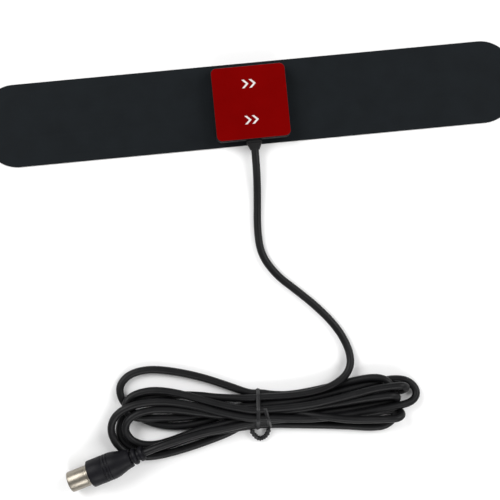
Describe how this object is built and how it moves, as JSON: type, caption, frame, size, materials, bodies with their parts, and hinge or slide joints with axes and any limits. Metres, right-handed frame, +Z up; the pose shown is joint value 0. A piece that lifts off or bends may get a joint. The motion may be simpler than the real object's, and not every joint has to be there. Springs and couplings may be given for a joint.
{
  "type": "indoor television antenna",
  "caption": "Flat strip indoor television antenna lying face down, with a raised coupling box, a red adhesive pad liner, and a coaxial lead tied in a hank that ends in a push-on plug.",
  "frame": {"origin": "centre of the blade's front face, which lies on the surface; bounding box bottom centre of the antenna without its lead, hank, tie, strain relief and plug", "axes": "+X along the blade, +Y across it away from the lead's exit, +Z up out of the back film through the coupling box"},
  "size_m": [0.244, 0.1859, 0.0138],
  "materials": {
    "film_black": "matte black polyester film",
    "foil": "etched aluminium foil",
    "adhesive": "clear acrylic adhesive film",
    "housing_black": "fine textured ABS",
    "foam": "closed cell foam tape",
    "liner_red": "satin red release film",
    "board_green": "solder resist over glass epoxy",
    "ferrite": "sintered ferrite",
    "copper_wire": "enamelled copper",
    "chip_ceramic": "fired ceramic chip",
    "tin_plate": "tin plated",
    "dielectric_white": "polyethylene",
    "cable_black": "satin flexible vinyl jacket",
    "relief_grey": "soft vinyl moulding",
    "tie_black": "plastic coated wire strip",
    "grip_black": "satin vinyl overmould",
    "nickel": "satin nickel plate"
  },
  "bodies": {
    "antenna": {"front_film": "film_black", "bonding_film": "adhesive", "left_element": "foil", "right_element": "foil", "carrier_film": "film_black", "back_film": "film_black", "left_terminal": "tin_plate", "right_terminal": "tin_plate", "base_adhesive": "adhesive", "housing_base": "housing_black", "housing_cover": "housing_black", "foam_pad": "foam", "circuit_board": "board_green", "balun_core": "ferrite", "primary_winding": "copper_wire", "secondary_winding": "copper_wire", "matching_capacitors": "chip_ceramic", "capacitor_caps": "tin_plate", "solder_joints": "tin_plate", "cable_clamp": "tin_plate", "braid_tail": "tin_plate", "dielectric_tail": "dielectric_white", "conductor_tail": "copper_wire", "strain_relief": "relief_grey", "cable_run": "cable_black", "cable_hank": "cable_black", "cable_tail": "cable_black", "twist_tie": "tie_black", "plug_grip": "grip_black", "plug_barrel": "nickel", "plug_insulator": "dielectric_white", "plug_pin": "nickel", "plug_ferrule": "tin_plate"},
    "liner": {"release_liner": "liner_red"}
  },
  "joints": [
    {"name": "liner_lift", "type": "slide", "parent": "antenna", "child": "liner", "axis": [0, 0, 1], "range_m": [0, 0.04]}
  ]
}
